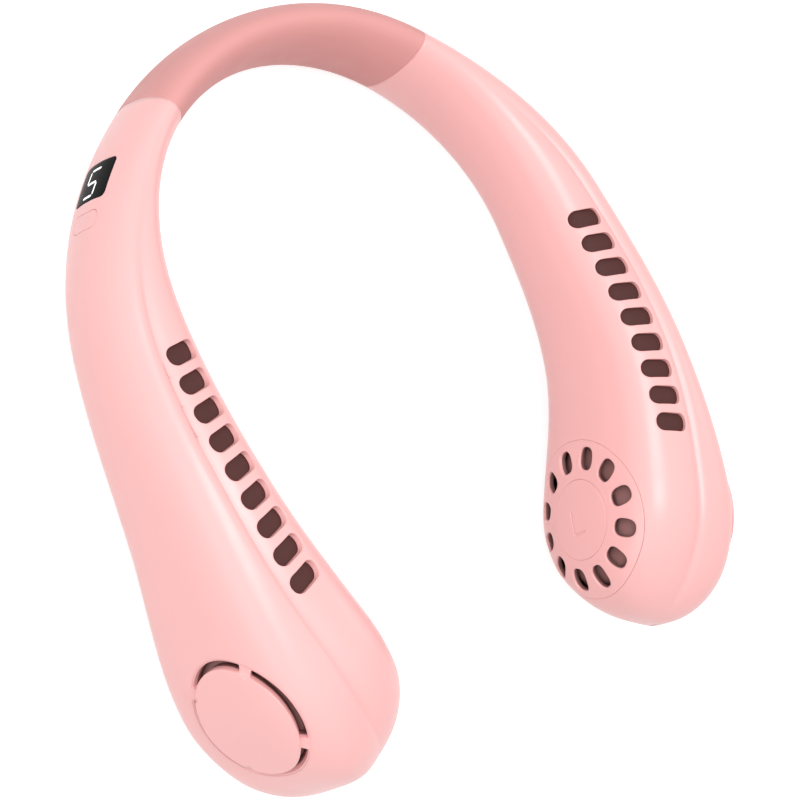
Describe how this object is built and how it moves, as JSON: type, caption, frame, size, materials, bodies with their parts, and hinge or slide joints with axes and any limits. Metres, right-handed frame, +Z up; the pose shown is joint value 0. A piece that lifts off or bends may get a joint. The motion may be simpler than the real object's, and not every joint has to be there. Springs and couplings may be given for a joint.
{
  "type": "electric neck fan",
  "caption": "C-shaped wearable fan: a soft band joins two hollow arms that swell into bulbs, with a blower in each, air slots on top, a domed grille inside and an intake disc outside.",
  "frame": {"origin": "middle of the overall box in plan, at the level the fan rests on", "axes": "+X to the wearer's left, +Y to the back where the band is, +Z up through the air slots"},
  "size_m": [0.1884, 0.2146, 0.0585],
  "materials": {
    "shell_pink": "smooth satin gloss",
    "band_silicone": "matt silicone",
    "display_black": "smoked, glossy",
    "inner_plastic": "moulded",
    "board_green": "solder mask",
    "module_white": "moulded",
    "switch_black": "moulded",
    "spring_steel": "drawn wire",
    "steel": "turned",
    "cable_black": "extruded",
    "bearing_bronze": "sintered",
    "winding_copper": "enamelled",
    "magnet_dark": "bonded",
    "cell_wrap": "sleeved can"
  },
  "bodies": {
    "neck_band": {"neck_band_sleeve": "band_silicone", "band_spring": "spring_steel", "band_cable": "cable_black"},
    "left_arm": {"left_outer_shell": "shell_pink", "left_inner_shell": "shell_pink", "left_intake_cover": "shell_pink", "left_inner_grille": "shell_pink", "left_side_badge": "shell_pink", "left_band_coupler": "inner_plastic", "left_battery_tray": "inner_plastic", "left_bearing_tube": "bearing_bronze", "left_motor_board": "board_green", "left_motor_screws": "steel", "left_stator_core": "steel", "left_coils": "winding_copper", "left_battery": "cell_wrap"},
    "right_arm": {"right_outer_shell": "shell_pink", "right_inner_shell": "shell_pink", "right_intake_cover": "shell_pink", "right_inner_grille": "shell_pink", "right_side_badge": "shell_pink", "right_band_coupler": "inner_plastic", "right_battery_tray": "inner_plastic", "right_bearing_tube": "bearing_bronze", "right_motor_board": "board_green", "right_motor_screws": "steel", "right_stator_core": "steel", "right_coils": "winding_copper", "right_battery": "cell_wrap", "display_window": "display_black", "main_board": "board_green", "display_module": "module_white", "tact_switch": "switch_black", "usb_port": "steel"},
    "left_rotor": {"left_impeller": "inner_plastic", "left_rotor_cup": "steel", "left_magnet_ring": "magnet_dark", "left_motor_shaft": "steel"},
    "right_rotor": {"right_impeller": "inner_plastic", "right_rotor_cup": "steel", "right_magnet_ring": "magnet_dark", "right_motor_shaft": "steel"},
    "power_button": {"power_button": "shell_pink"}
  },
  "joints": [
    {"name": "left_arm_flex", "type": "hinge", "parent": "neck_band", "child": "left_arm", "pos_m": [0.02355, 0.09599, 0.01903], "axis": [0, 0, 1], "range_deg": [-6, 15], "stiffness_Nm_per_rad": 0.6, "deforming": ["neck_band_sleeve", "band_spring", "band_cable"]},
    {"name": "right_arm_flex", "type": "hinge", "parent": "neck_band", "child": "right_arm", "pos_m": [-0.02355, 0.09599, 0.01903], "axis": [0, 0, -1], "range_deg": [-6, 15], "stiffness_Nm_per_rad": 0.6, "deforming": ["neck_band_sleeve", "band_spring", "band_cable"]},
    {"name": "left_fan_spin", "type": "hinge", "parent": "left_arm", "child": "left_rotor", "pos_m": [0.067, -0.07314, 0.02813], "axis": [0.9598, -0.2807, 0], "continuous": true},
    {"name": "right_fan_spin", "type": "hinge", "parent": "right_arm", "child": "right_rotor", "pos_m": [-0.067, -0.07314, 0.02813], "axis": [-0.9598, -0.2807, 0], "continuous": true},
    {"name": "power_button_press", "type": "slide", "parent": "right_arm", "child": "power_button", "axis": [0.8873, -0.4596, -0.0388], "range_m": [0, 0.0006], "stiffness_N_per_m": 800, "springref_m": -0.0005}
  ]
}
